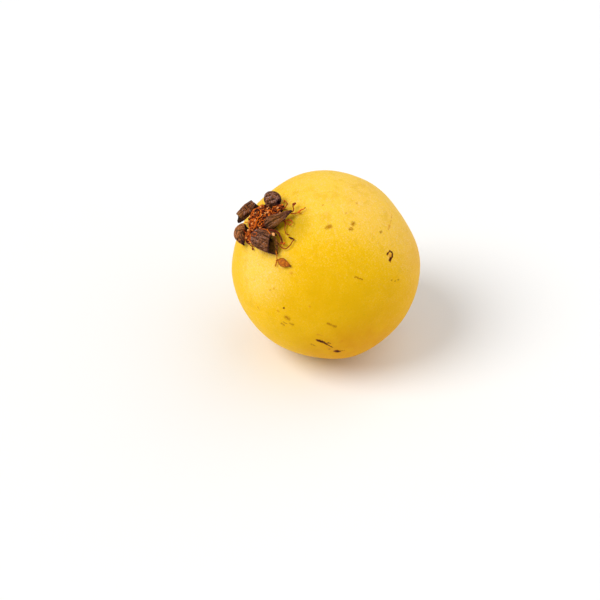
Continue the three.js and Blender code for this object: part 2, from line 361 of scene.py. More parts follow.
# Marks on the skin: from and to, each (from crown, around) in degrees, half width in mm, and
# taper, the share of that width it loses by its end.
SCAB_STROKES = [
    ((81.6, -45.6), (82.8, -42.7), 0.36, 0.0),
    ((82.8, -42.7), (85.4, -42.9), 0.38, 0.0),
    ((85.4, -42.9), (86.0, -44.8), 0.36, 0.0),
    ((86.0, -44.8), (84.9, -47.6), 0.4, -0.9),
    ((83.2, -115.5), (85.6, -114.5), 0.8, 0.0),
    ((86.6, -113.9), (94.8, -113.9), 0.64, 0.7),
    ((88.9, -112.4), (90.4, -111.7), 0.42, 0.3),
    ((100.2, -115.6), (101.6, -115.2), 1.08, 0.0),
    ((101.6, -115.2), (103.6, -111.6), 0.3, 0.6),
    ((53.9, -120.3), (54.2, -119.8), 0.42, 0.0),
]
OLIVE_STROKES = [
    ((41.8, -43.4), (43.2, -41.6), 1.0, 0.0),
    ((56.0, -35.4), (56.4, -34.4), 1.0, 0.0),
    ((55.0, -39.7), (55.8, -39.1), 0.82, 0.0),
    ((68.6, -67.7), (73.3, -66.9), 0.45, 0.2),
    ((91.4, -57.5), (91.8, -57.3), 0.38, 0.0),
    ((94.6, -56.6), (95.0, -56.4), 0.38, 0.0),
    ((96.7, -55.1), (97.2, -54.6), 0.45, 0.0),
    ((60.0, -122.4), (61.0, -121.6), 1.12, 0.0),
    ((84.6, -121.7), (87.3, -120.7), 0.6, 0.4),
    ((94.9, -116.8), (95.3, -116.4), 0.52, 0.0),
    ((75.6, -101.5), (80.8, -100.0), 0.48, -0.4),
    ((74.0, -34.2), (74.5, -33.6), 0.6, 0.0),
    ((63.4, -129.2), (64.4, -128.2), 0.62, 0.0),
    ((64.6, -122.4), (65.8, -121.2), 0.6, 0.0),
    ((62.6, -126.8), (64.2, -125.4), 0.42, 0.3),
]
ORANGE_STROKES = [
    ((102.8, -117.6), (104.6, -112.0), 0.54, 0.3),
    ((78.8, -112.2), (79.4, -111.8), 0.54, 0.0),
    ((80.4, -111.1), (80.9, -110.8), 0.41, 0.0),
    ((92.9, -105.8), (93.3, -105.5), 0.41, 0.0),
    ((93.6, -107.5), (94.1, -107.2), 0.41, 0.0),
    ((38.1, -97.1), (38.6, -96.4), 0.61, 0.0),
    ((37.8, -19.8), (38.2, -19.2), 0.41, 0.0),
    ((58.0, -17.0), (58.5, -16.5), 0.47, 0.0),
    ((51.2, -27.3), (51.6, -26.9), 0.41, 0.0),
    ((41.2, -125.4), (41.4, -125.0), 0.47, 0.0),
    ((41.0, -120.6), (41.4, -120.2), 0.41, 0.0),
    ((54.5, -126.4), (54.9, -126.0), 0.61, 0.0),
    ((51.6, -146.2), (53.6, -144.6), 0.41, 0.5),
    ((83.0, -17.0), (81.0, -24.6), 0.34, 0.4),
    ((80.2, -26.4), (79.4, -29.6), 0.62, 0.3),
    ((83.4, -45.2), (84.8, -45.0), 0.85, 0.0),
    ((60.4, -102.3), (60.8, -101.9), 0.41, 0.0),
    ((93.0, -116.3), (93.3, -116.1), 0.41, 0.0),
]
# Small scattered marks on the sides that the strokes above leave clean.
SCATTERED = 26
PLAIN_PALENESS = 0.3  # how pale the specks are outside the broad patches
DASH_SLANT = (0.5, 0.3, 0.9)
DASH_STRETCH = (1.0, 0.45, 1.0)
# Degrees from the crown where each of these begins and is full.
FRECKLE_EDGE = (34.0, 20.0)
COLLAR_EDGE = (14.0, 10.5)
SCAR_FRINGE_EDGE = (166.0, 174.0)
SCAR_EDGE = (174.0, 175.6)


def scattered_strokes():
    rng = random.Random(41)
    strokes = []
    while len(strokes) < SCATTERED:
        start = (rng.uniform(28, 160), rng.uniform(25, 205))
        length = rng.choice((0.3, 0.5, 1.2, 3.0))
        end = (start[0] + length, start[1] + rng.uniform(-length, length))
        strokes.append((start, end, rng.uniform(0.22, 0.5), rng.choice((0.0, 0.5))))
    return strokes


def stroke_mask(tree, position, strokes):
    """The strongest of these strokes at each place."""
    whole = 0.0
    for start, end, half_width, taper in strokes:
        inputs = {
            "Position": position,
            "From": towards(*start) * FRUIT_RADIUS,
            "To": towards(*end) * FRUIT_RADIUS,
            "Half Width": half_width,
            "Taper": taper,
        }
        whole = maths(tree, "MAXIMUM", whole, place_group(tree, STROKE, inputs))
    return whole


def on_the_round(tree, direction):
    """Places on a plain ball of the fruit's radius, unevenly pushed about so that marks are ragged."""
    ball = scaled(tree, direction, FRUIT_RADIUS)
    ragged = add_node(tree, "ShaderNodeTexNoise", {"Vector": ball, "Scale": 1.7, "Detail": 2.0})
    shift = vector_maths(tree, "SUBTRACT", ragged.outputs["Color"], (0.5, 0.5, 0.5))
    return vector_maths(tree, "ADD", ball, scaled(tree, shift, 0.9))


def skin_material():
    material, tree, shader = new_material("guava_skin")
    position = crown_position(tree)
    direction = vector_maths(tree, "NORMALIZE", position)
    height = add_node(tree, "ShaderNodeSeparateXYZ", {0: direction}).outputs["Z"]
    from_crown = maths(tree, "DEGREES", maths(tree, "ARCCOSINE", height))

    # Gold, paler and deeper in broad patches with clouded edges: the skin's own uneven tone, with painted
    # highlight in the pale patches, painted shade in the deeper ones low down and painted calyx shadow
    # in the greenish one by the crown.
    colour = GOLD
    paleness = PLAIN_PALENESS
    clouds = patchy(tree, position, (0.13, 4.0, 0.6), (0.3, 0.66, 0.75, 1.12))
    for aim, reach, tint, strength, paling in CHEEKS:
        inputs = {"Direction": direction, "Towards": towards(*aim), "Reach": math.radians(reach)}
        mask = times(tree, place_group(tree, CHEEK, inputs), clouds, strength)
        colour = blend(tree, colour, tint, mask)
        paleness = add_node(tree, "ShaderNodeMix", {0: mask, 2: paleness, 3: paling}).outputs[0]

    # Short slanting dashes and fine pale specks, then deeper clouds, pores and pits.
    turned = {"Vector": position, "Rotation": DASH_SLANT, "Scale": DASH_STRETCH}
    slanted = add_node(tree, "ShaderNodeMapping", turned).outputs["Vector"]
    dashes = patchy(tree, slanted, (1.5, 3.0, 0.65, 0.3), (0.52, 0.66))
    gathered = patchy(tree, position, (0.22, 2.0), (0.34, 0.62, 0.35, 1.0))
    mottle = times(tree, dashes, gathered, paleness)
    colour = blend(tree, colour, PALE_SPECK, mottle, 0.8)
    specks = patchy(tree, position, (2.4, 2.0, 0.6), (0.53, 0.66))
    colour = blend(tree, colour, PALE_SPECK, specks, paleness, 0.9)
    broad = patchy(tree, position, (0.42, 3.0, 0.6), (0.42, 0.66))
    colour = blend(tree, colour, CREAM, broad, paleness, 0.28)
    deeper = patchy(tree, position, (0.24, 4.0, 0.62, 0.4), (0.5, 0.68))
    colour = blend(tree, colour, RICHER_GOLD, deeper, 0.4)
    pores = patchy(tree, position, (2.1, 2.0, 0.6), (0.42, 0.28))
    colour = blend(tree, colour, GREENISH, pores, 0.32)
    pits = patchy(tree, position, (1.5, 1.0), (0.3, 0.22))
    colour = blend(tree, colour, ORANGE, pits, 0.35)
    freckles = patchy(tree, position, (1.3, 2.0, 0.65), (0.62, 0.7))
    near_crown = spread_out(tree, from_crown, *FRECKLE_EDGE)
    colour = blend(tree, colour, ORANGE, freckles, near_crown, 0.65)

    # Marks, from the faint to the dark.
    ball = on_the_round(tree, direction)
    scattered = scattered_strokes()
    blotched = patchy(tree, position, (2.0, 2.0, 0.6), (0.34, 0.58, 0.45, 1.0))
    orange = stroke_mask(tree, ball, ORANGE_STROKES + scattered[::2])
    colour = blend(tree, colour, ORANGE, orange, blotched, 0.8)
    olive = stroke_mask(tree, ball, OLIVE_STROKES + scattered[1::2])
    colour = blend(tree, colour, OLIVE, olive, blotched, 0.95)
    scab = stroke_mask(tree, ball, SCAB_STROKES)
    crusted = patchy(tree, position, (3.2, 2.0, 0.6), (0.4, 0.6, 0.75, 1.0))
    colour = blend(tree, colour, SCAB_FRINGE, spread_out(tree, scab, 0.0, 0.45))
    colour = blend(tree, colour, SCAB, spread_out(tree, scab, 0.35, 0.85), crusted)

    # The dry collar round the crown, and the corky stem scar.
    frayed = patchy(tree, position, (0.8, 2.0), (0.3, 0.7, -1.6, 1.6))
    edge = maths(tree, "ADD", from_crown, frayed)
    collar = spread_out(tree, edge, *COLLAR_EDGE)
    colour = blend(tree, colour, CORK, collar, 0.85)
    colour = blend(tree, colour, OLIVE, spread_out(tree, edge, *SCAR_FRINGE_EDGE), 0.75)
    scar = spread_out(tree, edge, *SCAR_EDGE)
    bark = noise_value(tree, position, 2.4, 4.0, 0.7)
    cork = blend(tree, DARK_CORK, CORK, spread_out(tree, bark, 0.35, 0.65))
    colour = blend(tree, colour, cork, scar)

    grain = grain_height(tree, position, 0.7, 3.2)
    relief = maths(tree, "ADD", grain, times(tree, mottle, 0.25))
    relief = maths(tree, "SUBTRACT", relief, times(tree, scab, 1.2))
    relief = maths(tree, "ADD", relief, times(tree, scar, bark, 6.0))
    dull = maths(tree, "MAXIMUM", scar, maths(tree, "MAXIMUM", scab, collar))
    sheen = spread_out(tree, grain, 0.3, 0.7, 0.44, 0.56)
    roughness = maths(tree, "ADD", sheen, times(tree, dull, 0.3))
    feed_shader(tree, shader, colour, roughness, relief, 0.5, 0.00012)
    shader.inputs["Specular IOR Level"].default_value = 0.05
    shader.inputs["Subsurface Weight"].default_value = 0.12
    shader.inputs["Subsurface Radius"].default_value = (1.0, 0.45, 0.08)
    shader.inputs["Subsurface Scale"].default_value = 0.0012
    return material


# ---- Dried sepals ----
SEPAL_BROWN = (0.14, 0.045, 0.014)
SEPAL_FURROW_SHADE = (0.006, 0.002, 0.002)
SEPAL_GREY_HIGHLIGHT = (0.36, 0.31, 0.33)
SEPAL_RUST = (0.5, 0.15, 0.02)
SEPAL_PALE_HIGHLIGHT = (0.52, 0.27, 0.2)
SEPAL_EDGE = (0.03, 0.004, 0.012)
SEPAL_LINING_SHADE = (0.042, 0.016, 0.004)
SEPAL_GILT = (0.4, 0.17, 0.018)


def sepal_material():
    """Dried sepal: near black in its furrows, which is painted shade, with a painted bluish-grey
    highlight on its crests, mottled with rust and dark at its edges. Its inner side is painted dark,
    as shade inside the roll, and its pale patches are a painted pinkish highlight. The attributes
    come with each roll: relief, edge, lining, and how rusty, how strong the grey highlight, how pale
    and how gilt it is at each place."""
    material, tree, shader = new_material("dried_sepal")
    position = crown_position(tree)
    relief = attribute(tree, "relief")
    rusty = attribute(tree, "rusty")
    grain = grain_height(tree, position, 1.9, 6.0)
    rough_relief = maths(tree, "ADD", relief, spread_out(tree, grain, 0.3, 0.7, -0.22, 0.22))
    furrow = spread_out(tree, rough_relief, 0.7, 0.34)
    crest = spread_out(tree, rough_relief, 0.58, 0.95, 0.05, 1.0)
    blotches = maths(tree, "ADD", noise_value(tree, position, 2.5, 3.0, 0.65), times(tree, rusty, 0.13))
    colour = blend(tree, SEPAL_BROWN, SEPAL_RUST, spread_out(tree, blotches, 0.48, 0.74), rusty)
    # Painted highlight: bluish grey laid on the crests, in patches.
    glint_patches = patchy(tree, position, (2.1, 3.0, 0.6, 0.5), (0.42, 0.6))
    colour = blend(tree, colour, SEPAL_GREY_HIGHLIGHT, crest, glint_patches, attribute(tree, "grey_highlight"))
    # Painted shade: near black in the furrows.
    colour = blend(tree, colour, SEPAL_FURROW_SHADE, furrow, 0.9)
    # Painted highlight: pinkish pale patches where the pale layer says.
    pale_grain = spread_out(tree, grain, 0.42, 0.56)
    colour = blend(tree, colour, SEPAL_PALE_HIGHLIGHT, attribute(tree, "pale"), pale_grain)
    # Painted shade: the inner side of the sheet is darkened for the shade inside the rolls.
    colour = blend(tree, colour, SEPAL_LINING_SHADE, attribute(tree, "lining"), 0.9)
    colour = blend(tree, colour, SEPAL_EDGE, attribute(tree, "edge"), 0.92)
    colour = blend(tree, colour, SEPAL_GILT, attribute(tree, "gilt"))
    flecks = patchy(tree, position, (3.4, 2.0, 0.6), (0.6, 0.7))
    colour = blend(tree, colour, SEPAL_RUST, flecks, 0.4)
    roughness = spread_out(tree, relief, 0.3, 0.8, 0.9, 0.6)
    feed_shader(tree, shader, colour, roughness, grain, 0.9, 0.0002)
    shader.inputs["Specular IOR Level"].default_value = 0.15
    return material


# ---- Dried stamens, style and bract ----
STAMEN_DARK = (0.02, 0.003, 0.002)
STAMEN_RUST = (0.27, 0.03, 0.004)
STAMEN_ORANGE = (0.86, 0.185, 0.007)
STAMEN_CREAM = (0.95, 0.46, 0.16)
BRACT_BROWN = (0.36, 0.08, 0.001)
BRACT_AMBER = (0.6, 0.165, 0.001)
BRACT_RIB = (0.72, 0.25, 0.004)
BRACT_FURROW_SHADE = (0.14, 0.02, 0.004)
BRACT_EDGE = (0.05, 0.006, 0.006)


def stamen_material():
    """Dried filaments and anthers, from dark red through rust and orange to cream. The tone
    attribute says which, from 0 to 1."""
    material, tree, shader = new_material("dried_stamen")
    position = crown_position(tree)
    uneven = patchy(tree, position, (2.6, 3.0), (0.3, 0.7, -0.08, 0.08))
    tone = maths(tree, "ADD", attribute(tree, "tone"), uneven)
    colour = blend(tree, STAMEN_DARK, STAMEN_RUST, spread_out(tree, tone, 0.0, 0.4))
    colour = blend(tree, colour, STAMEN_ORANGE, spread_out(tree, tone, 0.35, 0.7))
    colour = blend(tree, colour, STAMEN_CREAM, spread_out(tree, tone, 0.75, 0.98))
    feed_shader(tree, shader, colour, 0.6, grain_height(tree, position, 3.0, 9.0), 0.6, 0.0001)
    shader.inputs["Specular IOR Level"].default_value = 0.15
    return material


def bract_material():
    """Withered leaflet: orange-brown, paler along its raised ribs, which is their own paler colour and
    painted highlight, darker in its furrows, which is painted shade, and dark at its edges.
    """
    material, tree, shader = new_material("dried_bract")
    position = crown_position(tree)
    relief = attribute(tree, "relief")
    mottle = patchy(tree, position, (1.4, 3.0, 0.6), (0.35, 0.65))
    colour = blend(tree, BRACT_BROWN, BRACT_AMBER, mottle)
    # Paler where raised: the ribs' own colour and painted highlight.
    colour = blend(tree, colour, BRACT_RIB, spread_out(tree, relief, 0.62, 0.92))
    # Painted shade: darker in the furrows.
    colour = blend(tree, colour, BRACT_FURROW_SHADE, spread_out(tree, relief, 0.3, 0.1))
    colour = blend(tree, colour, BRACT_EDGE, attribute(tree, "edge"), 0.9)
    feed_shader(tree, shader, colour, 0.6, grain_height(tree, position, 2.0, 8.0), 0.6, 0.00012)
    shader.inputs["Specular IOR Level"].default_value = 0.2
    return material


# ---- Fruit ----
FRUIT_STEPS_AROUND = 256
FRUIT_STEPS_DOWN = 160
COLLAR_ANGLE = 11.5
COLLAR_HEIGHT = 0.3
COLLAR_SPREAD = 2.6
DISC_DEPTH = 0.45
DISC_SPREAD = 8.0
DIMPLE_DEPTH = 2.0
DIMPLE_SPREAD = 8.5
SCAR_HEIGHT = 0.6
SCAR_SPREAD = 3.6
# Gentle swellings and flats: from the crown, around, height in mm and spread in degrees.
SWELLINGS = [
    (59, 48, 0.6, 22),
    (53, 163, 0.5, 18),
    (124, -122, 0.5, 13),
    (108, 5, -1.5, 17),
    (105, -147, -0.4, 17),
    (43, 81, -0.4, 13),
    (118, 130, 0.4, 30),
]
SWELLING_AIMS = [(towards(crown, around), height, spread) for crown, around, height, spread in SWELLINGS]


def skin_radius(direction):
    """The fruit's radius in this direction, in mm."""
    from_crown = math.degrees(math.acos(clamp(direction.z, -1.0, 1.0)))
    from_stem = 180 - from_crown
    radius = FRUIT_RADIUS
    radius += COLLAR_HEIGHT * hump(from_crown - COLLAR_ANGLE, COLLAR_SPREAD)
    radius -= DISC_DEPTH * hump(from_crown, DISC_SPREAD)
    radius -= DIMPLE_DEPTH * hump(from_stem, DIMPLE_SPREAD)
    radius += SCAR_HEIGHT * hump(from_stem, SCAR_SPREAD)
    for aim, height, spread in SWELLING_AIMS:
        apart = math.degrees(math.acos(clamp(direction.dot(aim), -1.0, 1.0)))
        radius += height * hump(apart, spread)
    lumps = 0.07 * noise.noise(direction * 5) + 0.02 * noise.noise(direction * 17)
    creases = 0.12 * noise.noise(direction * 60) * hump(from_stem, DIMPLE_SPREAD)
    return radius + lumps + creases


def build_fruit(material):
    bm = bmesh.new()
    steps = {"u_segments": FRUIT_STEPS_AROUND, "v_segments": FRUIT_STEPS_DOWN}
    for vert in bmesh.ops.create_uvsphere(bm, radius=1, **steps)["verts"]:
        direction = vert.co.normalized()
        vert.co = direction * skin_radius(direction)
    floor_point = CROWN_TO_ROW.inverted() @ Vector((0, 0, 0))
    floor_normal = LEAN_TURN.inverted() @ UP
    everything = bm.verts[:] + bm.edges[:] + bm.faces[:]
    bmesh.ops.bisect_plane(bm, geom=everything, plane_co=floor_point, plane_no=floor_normal, clear_inner=True)
    rim = [edge for edge in bm.edges if edge.is_boundary]
    spot = bmesh.ops.holes_fill(bm, edges=rim, sides=0)["faces"]
    for edge in rim:
        edge.smooth = False
    bmesh.ops.recalc_face_normals(bm, faces=bm.faces)
    bmesh.ops.triangulate(bm, faces=spot)
    finish_piece(bm, "guava_fruit", material, "fruit")


# ---- Calyx lobes ----
# Each lobe is a sepal rolled round a path. `girths` are radii at even steps along it, and
# `flatten` is its height over its width. The roll's outer edge lies at `start` degrees round the
# path, from the side through the top, and it winds on for `sweep` degrees, closing in by
# `closing` mm a turn. `corners` lengthen the mouth there or cut it back: at degrees, by a share
# of the length, over this many radians. `ridges` is about how many pleats it has, `twist` how
# many degrees they slew, and `foot` where its claw meets the fruit. `rusty` says how strongly it
# is mottled and `grey_highlight` how strong the painted bluish-grey highlight on its crests is,
# and `patches` change these, or lay pale or gilt, round a place: (layer, place, reach in mm,
# strength). The pale is a painted pinkish highlight. `tip_edge` is how much of its end is dark,
# and `relief` how far a ridge stands out and a furrow sinks, in mm.
LOBES = {
    "calyx_lobe_top": {
        "foot": (5.4, 2.5, 30.4),
        "path": [(5.1, 4.2, 33.4), (7.1, 2.5, 33.4), (8.7, -0.1, 32.8)],
        "girths": [0.5, 1.9, 2.6, 2.95, 3.05, 2.95, 2.66, 2.08, 1.05],
        "flatten": 0.98,
        "start": 190,
        "sweep": 560,
        "closing": 0.46,
        "ridges": 13,
        "twist": 60,
        "corners": [(150, -0.06, 0.6)],
        "rusty": 0.6,
        "grey_highlight": 0.95,
        "patches": [("pale", (8.9, 0.2, 33.8), 0.8, 1.2), ("pale", (7.4, 0.1, 34.6), 0.6, 1.2),
                    ("rusty", (6.2, 0.9, 33.8), 1.6, 0.9)],
        "tip_edge": 0.05,
        "relief": 0.17,
    },
    "calyx_lobe_upper_left": {
        "foot": (0.9, 6.3, 30.5),
        "path": [(0.9, 8.9, 32.9), (-2.3, 8.2, 33.4), (-5.4, 7.6, 33.9)],
        "girths": [1.5, 1.72, 1.85, 1.92, 1.95, 1.93, 1.9, 1.84, 1.76],
        "flatten": 0.97,
        "start": 238,
        "sweep": 470,
        "closing": 0.4,
        "ridges": 12,
        "twist": 8,
        "corners": [(248, 0.26, 0.65)],
        "rusty": 0.6,
        "grey_highlight": 0.6,
        "patches": [("rusty", (-1.3, 7.0, 34.8), 2.2, 0.9), ("gilt", (-5.4, 6.9, 35.2), 1.3, 0.6)],
        "tip_edge": 0.02,
        "relief": 0.22,
    },
    "calyx_lobe_lower_left": {
        "foot": (-5.8, 2.1, 30.4),
        "path": [(-5.4, 2.8, 32.9), (-7.3, 3.6, 32.8), (-8.8, 2.8, 32.4), (-9.2, -0.4, 31.4)],
        "girths": [0.9, 1.6, 1.95, 2.1, 2.12, 2.05, 1.8, 1.35, 0.55],
        "flatten": 0.78,
        "start": 205,
        "sweep": -430,
        "closing": 0.4,
        "ridges": 9,
        "twist": -35,
        "corners": [(200, 0.08, 0.6)],
        "rusty": 1.0,
        "grey_highlight": 0.35,
        "patches": [("rusty", (-7.5, 3.0, 33.0), 2.6, 1.7), ("gilt", (-7.4, 3.0, 34.4), 2.4, 0.15),
                    ("pale", (-8.2, 2.2, 34.0), 2.2, 0.25)],
        "tip_edge": 0.09,
        "relief": 0.25,
    },
    "calyx_lobe_lower": {
        "foot": (-4.2, -4.5, 30.4),
        "path": [(-4.2, -2.6, 33.2), (-2.9, -6.2, 33.0), (-1.3, -9.2, 32.2), (-0.4, -11.1, 31.1)],
        "girths": [0.9, 2.2, 2.9, 3.25, 3.5, 3.5, 3.4, 3.3, 3.1],
        "flatten": 0.62,
        "start": -22,
        "sweep": 322,
        "closing": 0.3,
        "ridges": 19,
        "twist": 14,
        "corners": [(228, 0.36, 0.5), (60, -0.22, 0.8), (310, -0.2, 0.6)],
        "rusty": 0.55,
        "grey_highlight": 0.4,
        "patches": [("gilt", (-0.6, -10.4, 29.8), 2.2, 0.7),
                    ("grey_highlight", (-3.2, -4.2, 35.2), 2.8, 2.0), ("rusty", (-2.9, -9.0, 32.9), 2.5, 0.7),
                    ("pale", (-2.6, -7.2, 35.4), 2.8, 0.16)],
        "tip_edge": 0.06,
        "relief": 0.29,
    },
    "calyx_lobe_horn": {
        "foot": (2.7, -4.5, 30.5),
        "path": [(1.4, -4.6, 33.5), (3.8, -5.3, 33.2), (6.6, -6.0, 32.5), (10.1, -6.2, 31.2)],
        "girths": [1.2, 2.0, 2.15, 2.05, 1.88, 1.66, 1.42, 1.12, 0.7],
        "flatten": 0.92,
        "start": 207,
        "sweep": -520,
        "closing": 0.36,
        "ridges": 11,
        "twist": 20,
        "corners": [(217, -0.16, 0.9), (38, 0.05, 0.6)],
        "rusty": 0.5,
        "grey_highlight": 0.35,
        "patches": [("rusty", (6.0, -6.1, 33.7), 2.4, 0.7), ("gilt", (4.6, -6.9, 32.2), 2.0, 0.45)],
        "tip_edge": 0.1,
        "relief": 0.22,
    },
}
SHEET = 0.22  # a sepal's thickness in mm
STEPS_ALONG = 96
STEPS_AROUND = 200
PATH_STEPS = 200
LONGEST_REACH = 1.49  # the furthest a corner runs, as a share of the path's length
LEAST_GIRTH = 0.16
CLAW_REACH = 0.12  # how far along the lobe's path its claw joins it
CLAW_GIRTHS = (0.9, 0.75)
SIDE_WALL_PATH = [(1.7, -8.3, 32.5), (1.3, -9.8, 31.7), (0.7, -11.1, 30.8), (-0.3, -12.3, 30.0),
                  (-1.1, -13.1, 29.4)]
SIDE_WALL_GIRTHS = [0.6, 1.0, 1.15, 1.0, 0.35]


def ridge_height(turn, share, ridges, seed):
    """Lengthwise pleats with sharp crests, cross wrinkles and pits, from about -1 to 1."""
    ring = Vector((math.cos(turn), math.sin(turn), 0)) * ridges * 0.3
    pleats = 1 - 2.6 * abs(noise.noise(ring + Vector((0, 0, share * 1.6 + seed))))
    finer = 1 - 2.6 * abs(noise.noise(ring * 2.3 + Vector((seed, 0, share * 3.1))))
    crossed = noise.noise(ring * 1.1 + Vector((0, seed, share * 13)))
    pitted = noise.noise(ring * 4.2 + Vector((seed, seed, share * 30)))
    return 0.75 * pleats + 0.4 * finer + 0.45 * crossed + 0.3 * pitted - 0.35


def roll_sepal(bm, lobe, seed):
    """A grid rolled round the lobe's path. Its relief, edge and tints go into vertex layers."""
    path = vectors(lobe["path"])
    rings = [path_frame(path, step / PATH_STEPS) for step in range(PATH_STEPS * 3 // 2)]
    girths = [smooth_between(lobe["girths"], step / STEPS_ALONG) for step in range(STEPS_ALONG + 1)]
    relief_layer = new_layer(bm, "relief")
    edge_layer = new_layer(bm, "edge")
    tints = {name: new_layer(bm, name) for name in ("rusty", "grey_highlight", "pale", "gilt")}
    patches = [(tints[name], Vector(place), reach, much) for name, place, reach, much in lobe["patches"]]
    bmesh.ops.create_grid(bm, x_segments=STEPS_ALONG, y_segments=STEPS_AROUND, size=1)
    for vert in bm.verts:
        share = (vert.co.x + 1) / 2
        wound = (vert.co.y + 1) / 2
        turn = math.radians(lobe["start"] + lobe["sweep"] * wound)
        frayed = 0.03 * noise_at(wound * 9, seed, 0) + 0.01 * noise_at(wound * 40, seed, 5)
        reach = share * (1 + frayed)
        for at, longer, width in lobe["corners"]:
            apart = math.remainder(turn - math.radians(at), 2 * math.pi)
            reach += share**2 * longer * hump(apart, width)
        slewed = turn + math.radians(lobe["twist"]) * share
        height = ridge_height(slewed, share, lobe["ridges"], seed)
        girth = girths[round(share * STEPS_ALONG)] - lobe["closing"] * wound * abs(lobe["sweep"]) / 360
        dent = 0.06 * noise_at(1.3 * math.cos(turn), 1.3 * math.sin(turn), share * 3 + seed)
        pinched = clamp(4 * share) * clamp(girth / 1.2)
        girth = max(LEAST_GIRTH, girth * (1 + dent) + lobe["relief"] * height * pinched)
        ring = rings[round(clamp(reach, 0, LONGEST_REACH) * PATH_STEPS)]
        vert.co = round_path(*ring, turn, girth, lobe["flatten"])
        vert[relief_layer] = clamp(0.5 + 0.42 * height)
        side = max(hump(wound, 0.012), hump(1 - wound, 0.012))
        vert[edge_layer] = clamp(max(hump(1 - share, lobe["tip_edge"]), hump(share, 0.02), side))
        vert[tints["rusty"]] = lobe["rusty"]
        vert[tints["grey_highlight"]] = lobe["grey_highlight"]
        for tint, place, spread, much in patches:
            vert[tint] = mix(vert[tint], much, hump((vert.co - place).length, spread))


def thicken(bm, thickness):
    """Gives the sheet an inner side, whose lining layer is 1, and closes its rim."""
    lining = new_layer(bm, "lining")
    bm.normal_update()
    rim = [edge for edge in bm.edges if edge.is_boundary]
    copied = bmesh.ops.duplicate(bm, geom=bm.verts[:] + bm.edges[:] + bm.faces[:])["geom"]
    inner = [part for part in copied if isinstance(part, bmesh.types.BMFace)]
    for vert in [part for part in copied if isinstance(part, bmesh.types.BMVert)]:
        vert.co -= vert.normal * thickness
        vert[lining] = 1.0
    inner_rim = [part for part in copied if isinstance(part, bmesh.types.BMEdge) and part.is_boundary]
    bmesh.ops.reverse_faces(bm, faces=inner)
    bmesh.ops.bridge_loops(bm, edges=rim + inner_rim)


def add_claw(bm, foot, path, seed):
    """The narrow pleated base by which a sepal holds to the fruit's collar."""
    start = path_frame(path, CLAW_REACH)[0]
    middle = (foot + start) / 2 + (foot - start).cross(UP).normalized() * 0.15

    def radius_at(share, turn):
        pleats = 1 - 2.4 * abs(noise_at(2 * math.cos(turn), 2 * math.sin(turn), share * 2 + seed))
        return mix(*CLAW_GIRTHS, share) + 0.15 * pleats

    claw = tube([foot, middle, start], radius_at, 22, 14)
    # A low relief, which the sepal material paints near black: painted shade on the claw under the lobe.
    relief_layer = new_layer(claw, "relief")
    for vert in claw.verts:
        vert[relief_layer] = 0.25
    take_in(bm, claw)


def add_side_wall(bm):
    """The lower lobe's other margin: a crumpled strip down from its mouth to its tip."""

    def radius_at(share, turn):
        pleats = noise_at(1.5 * math.cos(turn), 1.5 * math.sin(turn), share * 5)
        return between(SIDE_WALL_GIRTHS, share) * (1 + 0.4 * pleats)

    wall = tube(vectors(SIDE_WALL_PATH), radius_at, 24, 40, flat=0.25)
    relief_layer = new_layer(wall, "relief")
    rusty_layer = new_layer(wall, "rusty")
    gilt_layer = new_layer(wall, "gilt")
    for vert in wall.verts:
        vert[relief_layer] = clamp(0.55 + 0.6 * noise.noise(vert.co * 3.4))
        vert[rusty_layer] = 0.7
        vert[gilt_layer] = clamp(0.5 * noise.noise(vert.co * 0.9 + UP))
    take_in(bm, wall)


def build_lobe(name, lobe, seed, material):
    bm = bmesh.new()
    roll_sepal(bm, lobe, seed)
    # An open sheet has no inside of its own, so its faces are made to look away from its middle.
    bmesh.ops.recalc_face_normals(bm, faces=bm.faces)
    middle = sum((vert.co for vert in bm.verts), Vector()) / len(bm.verts)
    outward = sum(face.normal.dot(face.calc_center_median() - middle) for face in bm.faces)
    if outward < 0:
        bmesh.ops.reverse_faces(bm, faces=bm.faces)
    thicken(bm, SHEET)
    if name == "calyx_lobe_lower":
        add_side_wall(bm)
    add_claw(bm, Vector(lobe["foot"]), vectors(lobe["path"]), seed)
    COVERED.append(BVHTree.FromBMesh(bm))
    finish_piece(bm, "dried_" + name, material, name)


# ---- Strands ----
FILAMENT_TAPER = (1.12, 0.72)  # a filament's girth at its root and tip, as shares of its radius
FILAMENT_FLAT = 0.8
STEPS_PER_MM = 0.6  # steps in a mm of filament, for each of its sides
ANTHER_CREASE = 0.55
ANTHER_DENT = 0.45
MAT_SIDES = 6  # sides of the strands in the thick of the mat
CLEAR_SIDES = 8  # sides of the strands and anthers that show on it
FINE_SIDES = 16  # sides of the strands and anthers that stand alone


def carried_frames(points, steps):
    """(middle, across, rise) at even steps along a path, turned as little as can be."""
    middles = [smooth_between(points, step / steps) for step in range(steps + 1)]
    frames = []
    across = None
    for step, middle in enumerate(middles):
        along = (middles[min(step + 1, steps)] - middles[max(step - 1, 0)]).normalized()
        across = (across - along * across.dot(along)) if across else along.orthogonal()
        across.normalize()
        frames.append((middle, across, along.cross(across)))
    return frames


@functools.cache
def unit_tube(sides, steps):
    """A closed tube of radius 1 and length 1, as a mesh that is made once and copied."""
    bm = bmesh.new()
    wide = {"segments": sides, "radius1": 1, "radius2": 1, "depth": 1}
    ends = bmesh.ops.create_cone(bm, cap_ends=True, **wide)["verts"]
    edges = dict.fromkeys(edge for vert in ends for edge in vert.link_edges)
    lengthwise = [edge for edge in edges if edge.verts[0].co.z * edge.verts[1].co.z < 0]
    bmesh.ops.subdivide_edges(bm, edges=lengthwise, cuts=steps - 1)
    return mesh_from(bm, "unit_tube")


@functools.cache
def unit_ball(sides):
    """A ball of radius 1, as a mesh that is made once and copied."""
    bm = bmesh.new()
    bmesh.ops.create_uvsphere(bm, u_segments=sides, v_segments=sides * 3 // 4, radius=1)
    return mesh_from(bm, "unit_ball")


